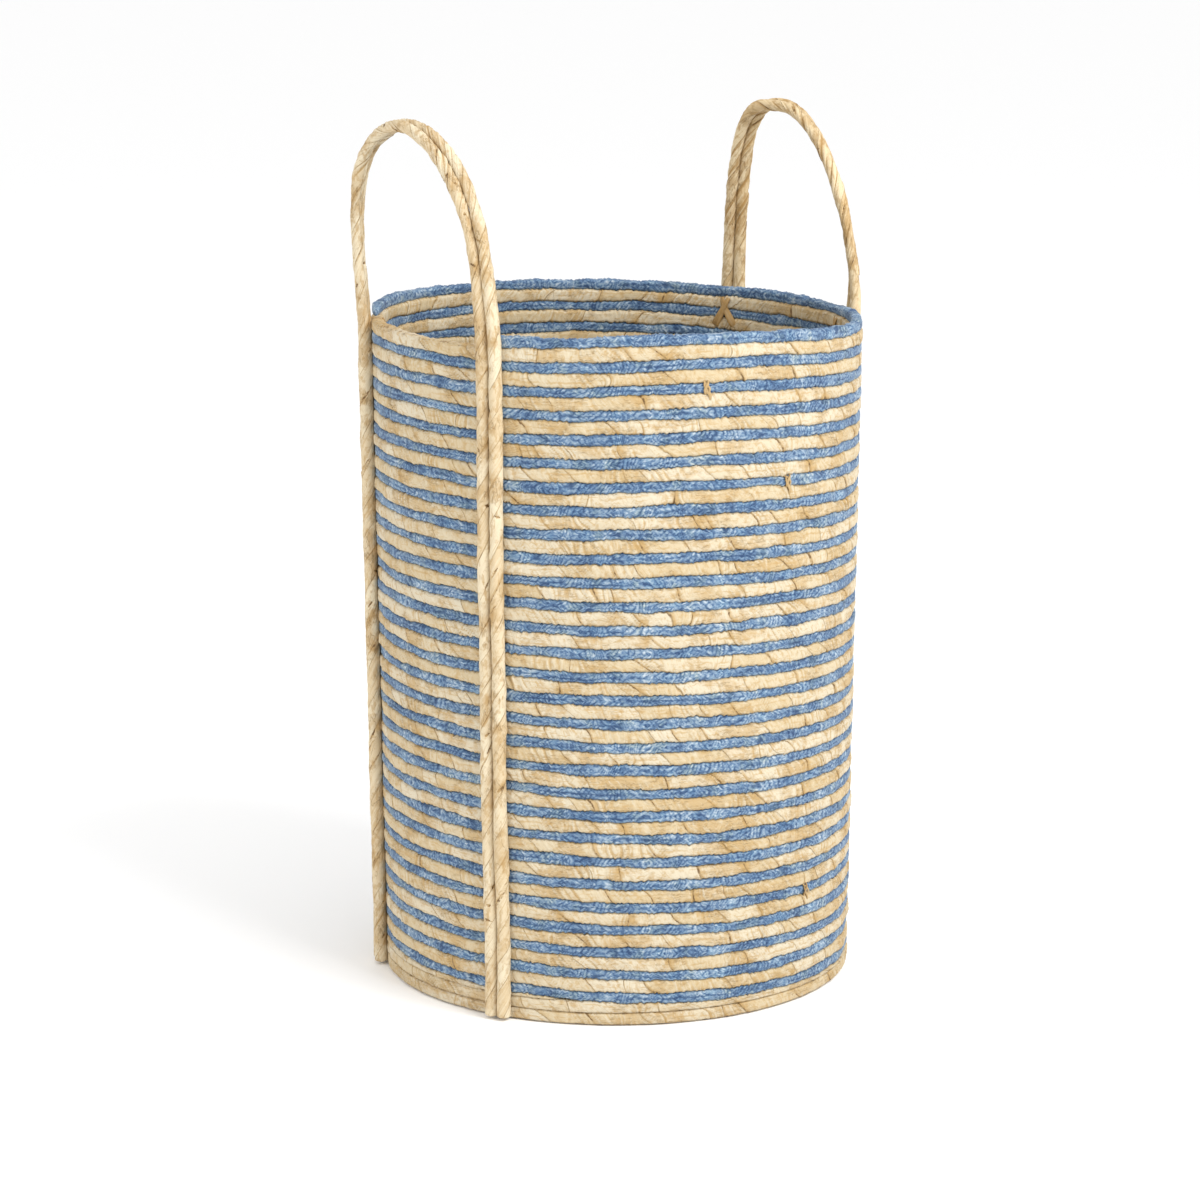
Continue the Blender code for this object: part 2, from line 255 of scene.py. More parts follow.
def squarish(turn, power):
    """Unit outline of a rope pressed between its neighbours: out and up parts."""
    out, up = np.cos(turn), np.sin(turn)
    return (np.sign(out) * np.abs(out) ** (2 / power), np.sign(up) * np.abs(up) ** (2 / power))


HIDDEN_SHARE = 0.45      # density of points on a rope's hidden top and underside


def section_points(power, sides):
    """Angles round a squarish section, closer on its two faces, and the way round it.

    The way round is a zigzag: 1 at the top, 0 at both faces, -1 underneath, 0.5 at a corner.
    """
    fine = np.linspace(0, TURN, 7201)
    out, up = squarish(fine, power)
    step = np.hypot(np.diff(out), np.diff(up))
    facing = np.abs(np.cos((fine[1:] + fine[:-1]) / 2)) > math.sqrt(0.5)
    dense = np.concatenate([[0.0], np.cumsum(step * np.where(facing, 1.0, HIDDEN_SHARE))])
    turn = np.interp(dense[-1] * np.arange(sides) / sides, dense, fine)
    even = np.concatenate([[0.0], np.cumsum(step)])
    return turn, zigzag(TURN * np.interp(turn, fine, even) / even[-1])


HUSK_SLANT = 0.0080              # how far a husk seam runs along the rope on its way to its top
STRIP_BOW = 0.0030
STRIP_LENGTHS = (0.010, 0.075)   # shortest and longest
SEAM_STEP = 0.00046              # a strip's beginning stands this far over the strip before it
SEAM_FADE = 0.009                # and sinks back over this length
SEAM_GROOVE = 0.00036
SEAM_WIDTH = 0.0009
PLEAT_RISE = 0.00019
WAVE_OUT = 0.00016               # slow waves of a rope's face
WAVE_CORNER = 0.00012
CREASE_DEPTH = 0.00020           # of the crease along the middle of a face
CREASE_WIDTH = 0.055
CRUMPLE_WAVES = 12
CRUMPLE_SIZES = (0.0032, 0.0100)
QUARTER_ROUND = 0.0100           # way round a rope from the middle of its face to its top


def strip_seams(rng, length):
    """Places along a rope where one husk strip ends and the next begins."""
    shortest, longest = STRIP_LENGTHS
    seams = []
    place = rng.uniform(0, longest)
    while place < length - shortest * 0.5:
        seams.append(place)
        place += rng.uniform(shortest, longest)
    return np.array(seams)


def seam_values(rng, seams, length, wrap):
    """Signed distance to the nearest seam, that seam's strength, and each strip's own tone."""
    reach = np.concatenate([[seams[-1] - length], seams, [seams[0] + length]])
    strength = 0.14 + 0.86 * rng.uniform(0, 1, len(seams)) ** 1.5
    tones = rng.uniform(0, 1, len(seams))
    place = np.clip(np.searchsorted(reach, wrap) - 1, 0, len(seams))
    before = wrap - reach[place]
    after = reach[place + 1] - wrap
    last, following = (place - 1) % len(seams), place % len(seams)
    nearest = np.where(before < after, before, -after)
    power = np.where(before < after, strength[last], strength[following])
    return nearest, power, tones[last]


def crumple(rng, along, across, length):
    """Creases in all directions, in patches: plane waves that close up along the rope."""
    height = np.zeros((len(along), len(across)))
    for _ in range(CRUMPLE_WAVES):
        size = rng.uniform(*CRUMPLE_SIZES)
        heading = rng.uniform(0, np.pi)
        cycles = round(length * math.cos(heading) / size)
        round_it = QUARTER_ROUND * math.sin(heading) / size
        patch = np.clip(column(rng, len(along), 8, 90), 0, 2)
        phase = cycles * along[:, None] / length + round_it * across
        height += patch * np.sin(TURN * phase + rng.uniform(0, 6.28))
    return height / math.sqrt(CRUMPLE_WAVES)


def husk_relief(rng, along, turn, across, length):
    """Height of a wrapped husk rope's surface over its plain section, and its values.

    wrap is the place along the rope, slanted as the strips are, and crest is low in a crease,
    where the material paints shade; pleat is the height of the pleats and crumples, which the
    material paints as highlight and shade.
    """
    count = len(along)
    creased = crumple(rng, along, across, length)
    slants = HUSK_SLANT * np.clip(0.85 + 0.50 * column(rng, count, 6, 45), -0.3, 1.7)
    bow = STRIP_BOW * column(rng, count, 8, 60) * across ** 2
    wrap = along[:, None] + slants * across + bow
    seam, power, tone = seam_values(rng, strip_seams(rng, length), length, wrap)
    after = np.exp(-np.abs(seam) / SEAM_FADE) * (seam > 0)
    height = SEAM_STEP * power * after
    height -= SEAM_GROOVE * power * np.exp(-(seam / SEAM_WIDTH) ** 2)
    amount = np.clip(0.60 + 0.55 * column(rng, count, 5, 45), 0.08, 1.8)
    pleat = amount * on_loop(loop_noise(rng, FINE, 150, 520), TURN * wrap / length)
    pleat = pleat + 1.1 * creased
    height += PLEAT_RISE * pleat
    height += WAVE_OUT * column(rng, count, 12, 70) * np.cos(turn)
    height += WAVE_CORNER * column(rng, count, 20, 110) * np.sin(2 * turn)
    crease_at = 0.16 * column(rng, count, 2, 9) + 0.04 * column(rng, count, 20, 90)
    crease = np.exp(-((across - crease_at) / CREASE_WIDTH) ** 2)
    depth = np.clip(column(rng, count, 3, 14), 0, 1.6)
    height -= CREASE_DEPTH * depth * crease
    crest = 1.0 - 0.55 * np.clip(depth * crease, 0, 1)
    seam_shown = seam / np.maximum(power, 0.2)
    return height, {"along": along[:, None], "wrap": wrap, "across": across, "seam": seam_shown,
                    "tone": tone, "crest": crest, "pleat": pleat}


BRAID_STEP = 0.0052      # one bump of the blue braid
BRAID_DEPTH = 0.00038
BRAID_GROOVE = 0.00040   # between the braid's two rows
GROOVE_WIDTH = 0.08


def braid_relief(rng, along, turn, across, length):
    """Height of a blue rope's braid over its plain section, and its values.

    wrap counts the bumps, tone is half their size, and crest is 0 in the hollows between them,
    where the material paints shade.
    """
    count = len(along)
    bumps = round(length / BRAID_STEP)
    drift = 1.3 * column(rng, count, 4, 60)
    half = np.where(across >= 0, 0.0, 0.5)
    bend = 1.5 + 0.6 * column(rng, count, 6, 50)
    lay = np.clip(1.2 * column(rng, count, 4, 30), -1, 1)
    slope = (1 - np.abs(lay)) * np.abs(across) + lay * across
    phase = bumps * along[:, None] / length + bend * slope + half * (1 - np.abs(lay)) + drift
    bump = np.abs(np.sin(np.pi * phase)) ** 0.8
    size = 1.0 + 0.25 * column(rng, count, 30, 140)
    groove_at = 0.06 * column(rng, count, 3, 20)
    groove_depth = np.clip(0.55 + 0.6 * column(rng, count, 3, 16), 0.0, 1.5)
    groove = np.exp(-((across - groove_at) / GROOVE_WIDTH) ** 2) * groove_depth
    calm = np.clip(0.7 + 0.5 * column(rng, count, 6, 50), 0.15, 1.4)
    height = BRAID_DEPTH * calm * (size * bump - 1.0) - BRAID_GROOVE * groove
    height += WAVE_OUT * column(rng, count, 12, 80) * np.cos(turn)
    crest = np.clip(bump * (1.0 - 0.6 * groove), 0, 1)
    return height, {"along": along[:, None], "wrap": phase, "across": across, "tone": size / 2,
                    "crest": crest}


# -------------------- courses of the wall
# Thickness of a rope across the wall, power of its squarish section, shift outward in the wall.
HUSK_SECTION = (0.0100, 4.4, 0.0)
BLUE_SECTION = (0.0090, 3.4, 0.0004)
# Section, length of a step and relief of a course, by whether it is blue.
KINDS = {False: (HUSK_SECTION, HUSK_STEP, husk_relief),
         True: (BLUE_SECTION, BLUE_STEP, braid_relief)}
COURSE_PRESS = 0.00022   # how far a course bulges over its joint with the next
COURSE_BULGE = 0.00028   # and in and out of the wall
START = math.radians(75.0)       # where a closed course of the wall begins, at the back


def course_rings(angle, low, high, relief, turn, section, bulge=0.0):
    """Rings of a course that lies between two heights, with its relief."""
    thickness, power, shift = section
    out, up = squarish(turn, power)
    middle = (low + high) / 2
    half = (high - low) / 2 + COURSE_PRESS
    centre = outer_radius(middle) - ROPE_THICKNESS / 2 + shift + bulge
    reach = centre[:, None] + out * thickness / 2 + relief * np.cos(turn)
    squeeze = np.where(np.abs(np.sin(turn)) > 0.55, 1.0, 0.5)
    rise = np.minimum(relief, 0.0) * np.sin(turn) * squeeze
    height = middle[:, None] + up * half[:, None] + rise
    return round_points(reach, angle[:, None], height)


def closed_course(radius, step, start):
    """Angles and places along a closed course, and its length."""
    length = TURN * radius
    count = int(length / step)
    part = np.arange(count)
    return start + TURN * part / count, length * part / count, length


def add_course(rope, number, blue):
    """Adds blue or husk course number (1 is the lowest) as a closed tube."""
    joint = 2 * (number - 1) + (0 if blue else 1)
    rng = np.random.default_rng(1000 + joint)
    section, step, relief_of = KINDS[blue]
    angle, along, length = closed_course(RIM_RADIUS, step, START)
    turn, across = section_points(section[1], ROUND)
    low, high = on_loop(JOINTS[joint], angle), on_loop(JOINTS[joint + 1], angle)
    relief, values = relief_of(rng, along, turn, across, length)
    bulge = COURSE_BULGE * loop_noise(rng, len(angle), 2, 24)
    rope.add(course_rings(angle, low, high, relief, turn, section, bulge), True, values)


def open_course(rope, joint_low, joint_high, start, end, taper, blue, seed):
    """Adds a course that covers only part of the turn and thins out at its ends."""
    rng = np.random.default_rng(seed)
    section, step, relief_of = KINDS[blue]
    reach = abs(end - start) * RIM_RADIUS
    count = int(reach / step)
    part = np.arange(count) / (count - 1)
    angle = start + (end - start) * part
    turn, across = section_points(section[1], ROUND)
    low, high = joint_low(angle), joint_high(angle)
    relief, values = relief_of(rng, part * reach, turn, across, TURN * RIM_RADIUS)
    full_size = np.minimum(1.0, np.minimum(part / taper[0], (1 - part) / taper[1]) + 0.02)
    shrink = np.sqrt(np.clip(full_size, 0, 1))
    top = low + (high - low) * shrink
    rings = course_rings(angle, low, top, relief * shrink[:, None], turn, section)
    centre = rings.mean(axis=1, keepdims=True)
    radial = (rings - centre) * np.array([1.0, 1.0, 0.0])
    rope.add(rings - radial * (1 - shrink)[:, None, None], False, values)


def build_wall(husk, blue):
    """Every course of the wall, in rope lengths of two courses as in the frame."""
    groups = [(1,)] + [(first, first + 1) for first in range(2, HUSK_COURSES, 2)]
    groups.append((HUSK_COURSES,))
    for number, courses in enumerate(groups, start=1):
        rope = Rope()
        for course in courses:
            add_course(rope, course, False)
        if len(courses) == 2:
            add_husk_step(rope, courses[1])
        rope.finish(f"husk_rope_{number:02d}", "wrapped", husk, "husk_rope")
    for number in range(1, HUSK_COURSES // 2 + 1):
        rope = Rope()
        add_course(rope, 2 * number - 1, True)
        add_course(rope, 2 * number, True)
        rope.finish(f"blue_rope_{number:02d}", "braided", blue, "blue_rope")


# Azimuths of the three steps on the front, by the blue course that they cross.
FRONT_STEPS = {5: math.radians(-69.7), 23: math.radians(-78.5), 27: math.radians(-100.9)}
# Slope, reach under the blue course, width and tone of a step's three strips.
STEP_STRIPS = ((0.0042, 0.0075, 0.0028, 0.10), (-0.0012, 0.0030, 0.0024, 0.55),
               (0.0070, 0.0016, 0.0018, 0.9))
STEP_THICKNESS = 0.0013
STRIP_EDGE = 0.0007      # distance to a seam that a strip's very edge is coloured with


def add_strip(rope, radius, angle, height, width, thickness, spin, values):
    """A flat husk strip along the wall. spin turns it about its run."""
    centre = round_points(radius, angle, height)
    along = unit(np.gradient(centre, axis=0))
    side = unit(np.cross(round_points(1.0, angle, 0.0 * angle), along))
    out = np.cross(along, side)
    cos, sin = np.cos(spin)[:, None], np.sin(spin)[:, None]
    broad, thin = side * cos + out * sin, out * cos - side * sin
    turn = TURN * np.arange(ROUND) / ROUND
    flat, up = squarish(turn, 2.4)
    rings = (centre[:, None] + thin[:, None] * (flat * thickness[:, None] / 2)[..., None]
             + broad[:, None] * (up * width[:, None] / 2)[..., None])
    from_edge = STRIP_EDGE + 0.55 * (1 - np.abs(up)) * width[:, None]
    rope.add(rings, False, values | {"across": 0.35 * zigzag(turn), "seam": from_edge,
                                     "wrap": up * 0.004})


def add_husk_step(rope, crossed):
    """The twisted husk end that crosses a blue course on the outside, from husk to husk."""
    middle = FRONT_STEPS.get(crossed, math.radians(67.5 + 15.0 * (crossed // 2 % 4)))
    joint = 2 * (crossed - 1)
    rng = np.random.default_rng(500 + crossed)
    part = np.linspace(0, 1, 34)
    ends = (np.abs(2 * part - 1)) ** 2.5
    for number, (slope, reach_down, width, tone) in enumerate(STEP_STRIPS):
        shift = rng.uniform(-0.0012, 0.0012) + 0.0011 * np.sin(np.pi * (2 * part + 0.7 * number))
        turned = middle + (slope * (0.5 - part) + shift) / RIM_RADIUS
        under, over = on_loop(JOINTS[joint], turned), on_loop(JOINTS[joint + 1], turned)
        low = under - reach_down * rng.uniform(0.7, 1.0)
        high = over + rng.uniform(0.0012, 0.0042)
        height = low + (high - low) * part
        lift = 0.0011 - 0.0026 * ends + 0.0006 * np.cos(TURN * (part + number / 3))
        spin = rng.uniform(-0.5, 0.5) + 1.3 * (part - 0.5)
        # a crest under 1 gives the whole strip part of the golden that the husk material paints as
        # shade in creases
        values = {"along": part[:, None] * 0.02, "tone": tone, "crest": 0.75,
                  "pleat": rng.normal(size=(1, ROUND))}
        add_strip(rope, outer_radius(height) + lift, turned, height, width * (1 - 0.55 * ends),
                  STEP_THICKNESS * (1 - 0.5 * ends), spin, values)


RIM_START, RIM_END = math.radians(-154.0), math.radians(151.0)
RIM_TAPER = (0.012, 0.020)       # parts of its length over which it thins out


def build_rim(blue):
    """The top blue course, which begins thin beside one leg and ends at the next."""
    top = 2 * HUSK_COURSES
    rope = Rope()
    open_course(rope, lambda a: on_loop(JOINTS[top], a), lambda a: on_loop(JOINTS[top + 1], a),
                RIM_START, RIM_END, RIM_TAPER, True, 71)
    rope.finish("blue_rim_rope", "braided", blue, "blue_rope")


FLOOR_GAP = 0.0005       # of the foot's underside, before the course bulges over it
FOOT_FIRST = 0.0102      # height of the foot's lowest course
FOOT_SECOND = 0.0098
FOOT_THINNEST = 0.0012   # a course of the wedge ends where it would be thinner


def foot_joints():
    """The foot's joints from the floor up, each a function of the angle."""
    def floor(angle):
        return np.zeros_like(angle) + FLOOR_GAP

    def top(angle):
        return on_loop(JOINTS[0], angle)

    def over_first(angle):
        return np.minimum(top(angle), FOOT_FIRST + 0.0003 * np.sin(3 * angle))

    def over_second(angle):
        return np.minimum(top(angle), over_first(angle) + FOOT_SECOND)

    return floor, over_first, over_second, top


def build_foot(husk):
    """Two or three husk courses under the lowest blue one: they make the wedge."""
    joints = foot_joints()
    rope = Rope()
    rng = np.random.default_rng(5)
    angle, along, length = closed_course(FOOT_RADIUS, HUSK_STEP, START)
    turn, across = section_points(HUSK_SECTION[1], ROUND)
    relief, values = husk_relief(rng, along, turn, across, length)
    low, high = joints[0](angle), joints[1](angle)
    rope.add(course_rings(angle, low, high, relief, turn, HUSK_SECTION), True, values)
    angles = np.radians(np.arange(0, 360, 1.0))
    away = np.abs(np.mod(angles - LEAN_AZIMUTH + np.pi, TURN) - np.pi)
    for low, high, seed in ((joints[1], joints[2], 6), (joints[2], joints[3], 7)):
        thin = (high(angles) - low(angles)) <= FOOT_THINNEST
        reach = (away[thin].min() if thin.any() else math.pi) - 0.01
        open_course(rope, low, high, LEAN_AZIMUTH - reach, LEAN_AZIMUTH + reach, (0.02, 0.02),
                    False, seed)
    rope.finish("husk_foot_rope", "wrapped", husk, "husk_rope", "husk_foot_wrapped")


BASE_PITCH = 0.0101          # between the turns of the bottom's coil
BASE_HALF_HEIGHT = 0.0047
BASE_MIDDLE = 0.0051
BASE_OVERLAP = 0.0003        # of neighbouring turns
KNOT_RADIUS = 0.0085
KNOT_STEPS = 24


def base_rings(angle, inner, outer, relief, turn):
    """Rings of the bottom's coil between two radii, lying flat."""
    out, up = squarish(turn, 2.6)
    radius, half = (inner + outer) / 2, (outer - inner) / 2 + BASE_OVERLAP
    reach = radius[:, None] + out * half[:, None] + np.minimum(relief, 0) * np.cos(turn)
    lift = BASE_MIDDLE + up * BASE_HALF_HEIGHT + relief * np.clip(np.sin(turn), 0, 1) * 0.8
    return round_points(reach, angle[:, None], lift)


def build_base(husk):
    """The bottom: a husk rope coiled flat round a small knot.

    Its end thins out along a last, closed turn.
    """
    edge = FOOT_RADIUS - ROPE_THICKNESS + 0.0010
    turn = TURN * np.arange(BASE_SIDES) / BASE_SIDES
    rng = np.random.default_rng(9)
    rope = Rope()
    start, end = BASE_PITCH / 2, edge - BASE_PITCH
    last = end + BASE_PITCH / 2
    length = math.pi * (last ** 2 - start ** 2) / BASE_PITCH
    along = np.linspace(0, length, int(length / BASE_STEP))
    radius = np.sqrt(start ** 2 + (last ** 2 - start ** 2) * along / length)
    relief, values = husk_relief(rng, along, turn, zigzag(turn), length)
    inner, outer = radius - BASE_PITCH / 2, np.minimum(radius + BASE_PITCH / 2, end)
    angle = TURN * radius / BASE_PITCH
    rope.add(base_rings(angle, inner, outer, relief, turn), False, values)
    angle, along, length = closed_course(edge, BASE_STEP, 0.0)
    relief, values = husk_relief(rng, along, turn, zigzag(turn), length)
    whole = np.ones(len(angle))
    rope.add(base_rings(angle, whole * (end - 0.0008), whole * edge, relief, turn), True, values)
    angle = TURN * np.arange(KNOT_STEPS) / KNOT_STEPS
    whole = np.ones(KNOT_STEPS)
    values = {name: value[:KNOT_STEPS] if value.ndim > 1 else value
              for name, value in values.items()}
    rope.add(base_rings(angle, whole * 0.0004, whole * KNOT_RADIUS, relief[:KNOT_STEPS], turn),
             True, values)
    rope.finish("base_coil", "wound", husk, "base_husk")


# -------------------- handles
UP = np.array([0.0, 0.0, 1.0])
LEG_END = 0.0012         # height of a cord's end over the floor
LEG_GAP = 0.0004         # between the wall's plain face and a leg, before it is drawn in
LEG_PRESS = 0.0010       # how far the sewing draws a leg into the wall
LEG_SWAY = 0.0007        # sideways
LOOP_STEPS = 240
LEG_STEPS = 60


def hinge_height(facing):
    """Height of a handle's hinge line, read from the frame's joint."""
    name = f"handle_{LABELS[facing]}_flop"
    return next(joint["pos_m"][2] for joint in frame["joints"] if joint["name"] == name)


def handle_axes(facing):
    """Directions of a handle: away from the basket, and along its hinge towards +Y."""
    azimuth = HANDLE_AZIMUTHS[facing]
    away = np.array([math.cos(azimuth), math.sin(azimuth), 0.0])
    return away, np.array([-away[1], away[0], 0.0]) * facing


def leg_angle(facing, side):
    """Azimuth of a leg. facing is 1 for the +X handle, side is 1 for its +Y leg."""
    return HANDLE_AZIMUTHS[facing] + facing * side * LEG_HALF_ANGLES[facing]


def leg_centre(facing, side, height):
    """Middle of a leg's two cords against the wall."""
    angle = leg_angle(facing, side)
    radius = outer_radius(height) + LEG_GAP + CORD_RADIUS
    return np.array([radius * math.cos(angle), radius * math.sin(angle), height])


def loop_place(facing, part):
    """Centre line of a handle's loop at part 0 to 1, from its -Y to its +Y leg."""
    height = hinge_height(facing)
    start = leg_centre(facing, -1, height)
    end = leg_centre(facing, 1, height)
    away, along = handle_axes(facing)
    lean, skew, top = LOOP_TOPS[facing]
    across_power, up_power, lean_power = ARCH_POWERS[facing]
    turn = np.pi * (1.0 - part)
    across = np.sign(np.cos(turn)) * np.abs(np.cos(turn)) ** across_power
    up = np.abs(np.sin(turn)) ** up_power
    lift = up ** lean_power
    sideways = np.linalg.norm(end - start) / 2 * across + skew * lift
    rise = UP * ((top - height) * up)[:, None]
    return (start + end) / 2 + along * sideways[:, None] - away * (lean * lift)[:, None] + rise


def cord_radius(facing, points):
    """Radius of a handle cord: full on the wall, less in the free loop.

    The right loop's -Y side is drawn tightest, just over the rim.
    """
    hinge = hinge_height(facing)
    radius = np.interp(points[:, 2], [hinge, hinge + 0.040], [CORD_RADIUS, LOOP_CORD_RADIUS])
    if facing < 0:
        return radius
    tight = np.interp(points[:, 2], [hinge - 0.040, hinge - 0.006, hinge + 0.11],
                      [CORD_RADIUS, TIGHT_CORD_RADIUS, LOOP_CORD_RADIUS])
    return np.where(points @ handle_axes(facing)[1] < 0, np.minimum(tight, radius), radius)


def pair_twist(facing, part):
    """Turn of a loop's cords about each other: along the wall at the legs, inward at the top."""
    half_angle = LEG_HALF_ANGLES[facing]
    rise = 1.0 - np.abs(2 * part - 1.0)
    twist = half_angle + (TOP_TWIST - half_angle) * rise
    if facing < 0:
        return twist
    early = EARLY_TWIST * (1.0 - np.exp(-rise / EARLY_FADE))
    soon = half_angle + early + (TOP_TWIST - half_angle - EARLY_TWIST) * rise ** 4
    return np.where(part < 0.5, soon, twist)


def leg_cord(facing, side, sign):
    """Points of a cord's leg, from the floor to the hinge. sign is 1 for the outer cord."""
    angle = leg_angle(facing, side)
    hinge = hinge_height(facing)
    outward = np.array([-math.sin(angle), math.cos(angle), 0.0])
    outward *= np.sign(outward @ handle_axes(facing)[1]) * side
    heights = np.linspace(LEG_END, hinge - 0.004, LEG_STEPS)
    line = np.array([leg_centre(facing, side, z) for z in heights])
    inward = -np.array([math.cos(angle), math.sin(angle), 0.0])
    line = line + inward * (LEG_PRESS * np.clip((hinge - heights) / 0.012, 0, 1))[:, None]
    rng = np.random.default_rng(300 + 10 * facing + side)
    sway = LEG_SWAY * np.interp(heights, np.linspace(0, hinge, 9), rng.normal(size=9))
    offset = sign * (cord_radius(facing, line) + 0.0001) + sway
    return line + outward * offset[:, None]


def handle_path(facing, outer):
    """Points of one cord: up one leg, over the loop and down the other."""
    part = np.linspace(0, 1, LOOP_STEPS)
    loop = loop_place(facing, part)
    tangent = unit(np.gradient(loop, axis=0))
    away, along = handle_axes(facing)
    normal = unit(UP * (tangent @ along)[:, None] - along * tangent[:, 2:])
    twist = pair_twist(facing, part)
    offset = normal * np.cos(twist)[:, None] - away * np.sin(twist)[:, None]
    sign = 1.0 if outer else -1.0
    loop_cord = loop + offset * sign * cord_radius(facing, loop)[:, None] * 0.95
    legs = [leg_cord(facing, side, sign) for side in (-1, 1)]
    return np.concatenate([legs[0], loop_cord[2:-2], legs[1][::-1]])


def smooth_path(points, step):
    """The path resampled at equal steps, slightly smoothed."""
    for _ in range(3):
        inner = (points[:-2] + 2 * points[1:-1] + points[2:]) / 4
        points = np.concatenate([points[:1], inner, points[-1:]])
    travelled = np.concatenate([[0], np.cumsum(np.linalg.norm(np.diff(points, axis=0), axis=1))])
    count = int(travelled[-1] / step)
    at = np.linspace(0, travelled[-1], count)
    return np.stack([np.interp(at, travelled, points[:, axis]) for axis in range(3)], -1), at


def carried_frame(points, first_side):
    """Two directions across a path, square to each other and without twist."""
    tangent = unit(np.gradient(points, axis=0))
    side = np.zeros_like(points)
    current = np.array(first_side, float)
    for index in range(len(points)):
        current = unit(current - tangent[index] * current.dot(tangent[index]))
        side[index] = current
    return side, np.cross(tangent, side)


CORD_TWIST = 0.0088      # how far a lay line climbs for each radian round the cord
CORD_STRIPS = 2          # husk strips laid side by side in a cord
STRAND_WAVES = ((3, 0.8), (5, 0.8), (8, 0.7), (12, 0.6))    # valleys round a cord, and their share
STRAND_RISE = 0.00028    # on the wall, and twice as much in the free loop
CORD_SWELL = 0.00022
CORD_SEAM_STEP = 0.00036
CORD_SEAM_FADE = 0.006
CORD_SEAM_GROOVE = 0.00030
CORD_SEAM_WIDTH = 0.0010
CORD_SLACK = 0.00012     # taken off the radius, since the strands stand out
CORD_ROUNDING = 0.0018   # length of a cord's rounded end
FREE_RISE = 0.03         # over the hinge, a cord comes free of the wall
SPLICES = 16             # places in a cord where a new strip is laid over the old ones
SPLICE_STEP = 0.00085
NICKS = 44               # small dark splits in a cord
NICK_DEPTH = 0.00130
SCAR_MARGIN = 0.02       # splices and nicks keep this far from a cord's ends


def cord_strands(rng, lay):
    """Rounded strands with sharp valleys along a cord's lay, coarse and fine, in patches."""
    strands = np.zeros(lay.shape)
    for waves, weight in STRAND_WAVES:
        amount = weight * np.clip(0.65 + 0.55 * column(rng, len(lay), 6, 60), 0.05, 1.6)
        phase = 0.5 * (waves * lay + rng.uniform(0, 6.28))
        strands += amount * (np.abs(np.sin(phase)) ** 0.8 - 0.66)
    return strands


def cord_seams(rng, lay, free):
    """Signed distance to the nearest strip seam, its strength, and each strip's own tone."""
    strip = lay * CORD_STRIPS / TURN
    number = np.floor(strip)
    seam = -(strip - number) * TURN * CORD_TWIST / CORD_STRIPS
    seam = np.where(strip - number > 0.5, seam + TURN * CORD_TWIST / CORD_STRIPS, seam)
    chance = rng.uniform(0.15, 1.0, 4096)
    power = chance[np.round(strip).astype(int) % 4096]
    tone = rng.uniform(0, 1, 4096)[number.astype(int) % 4096]
    fade = np.clip(0.75 + 0.5 * column(rng, len(lay), 10, 60), 0.1, 1.2)
    return seam, (0.65 + 0.25 * free) * power * fade, tone


def scar_place(rng, length, turn):
    """A chance place along a cord, and each point's turn from a chance side of it."""
    at, face = rng.uniform(SCAR_MARGIN, length - SCAR_MARGIN), rng.uniform(0, 6.28)
    return at, (turn - face + np.pi) % TURN - np.pi


def add_scars(rng, along, turn, relief, shown):
    """Adds splices and nicks to a cord's relief, and gives its seams with theirs added."""
    for _ in range(SPLICES):
        at, away = scar_place(rng, along[-1], turn)
        past = along[:, None] - at - 0.0075 * away - 0.0006 * np.sin(9 * away)
        cover = np.clip(1.4 - np.abs(away), 0, 1)
        relief += SPLICE_STEP * cover * np.exp(-np.abs(past) / SEAM_FADE) * (past > 0)
        past = past / np.maximum(cover, 0.05)
        shown = np.where(np.abs(past) < np.abs(shown), past, shown)
    for _ in range(NICKS):
        at, away = scar_place(rng, along[-1], turn)
        past = along[:, None] - at - rng.uniform(-0.004, 0.009) * away
        nick = np.exp(-(past / 0.0014) ** 2 - (away / rng.uniform(0.30, 0.75)) ** 2)
        relief -= NICK_DEPTH * nick
        shown = np.where(nick > 0.30, 0.0, shown)
    return shown


def add_cord(rope, points, facing, seed):
    """A twisted husk cord along points: strands with sharp valleys, strip seams and splices."""
    points, along = smooth_path(points, CORD_STEP)
    side, other = carried_frame(points, (0.0, 1.0, 0.0))
    rng = np.random.default_rng(seed)
    turn = TURN * np.arange(CORD_ROUND) / CORD_ROUND
    warp = 0.35 * column(rng, len(points), 3, 14)
    lay = turn - along[:, None] / CORD_TWIST + warp
    free = np.clip((points[:, 2] - hinge_height(facing)) / FREE_RISE, 0, 1)[:, None]
    strands = cord_strands(rng, lay)
    swell = column(rng, len(points), 8, 60)
    seam, power, tone = cord_seams(rng, lay, free)
    relief = (STRAND_RISE + STRAND_RISE * free) * strands + CORD_SWELL * swell
    relief += CORD_SEAM_STEP * power * np.exp(-np.abs(seam) / CORD_SEAM_FADE) * (seam > 0)
    relief -= CORD_SEAM_GROOVE * power * np.exp(-(seam / CORD_SEAM_WIDTH) ** 2)
    shown = add_scars(rng, along, turn, relief, seam / np.maximum(power, 0.2))
    ends = np.minimum(along, along[-1] - along)
    rounding = np.sqrt(np.clip(ends / CORD_ROUNDING, 0.05, 1.0))
    radius = cord_radius(facing, points)[:, None]
    size = (radius - CORD_SLACK + relief) * rounding[:, None]
    rings = (points[:, None] + side[:, None] * (np.cos(turn) * size)[..., None]
             + other[:, None] * (np.sin(turn) * size)[..., None])
    # pleat carries the strands' relief: the husk material paints a highlight on the strands and
    # shade in the valleys between them
    rope.add(rings, False, {"along": along[:, None], "wrap": lay * CORD_TWIST, "seam": shown,
                            "across": 0.35 * zigzag(turn), "tone": tone, "crest": 1.0,
                            "pleat": (1.5 + free + 0.3 * facing) * strands})


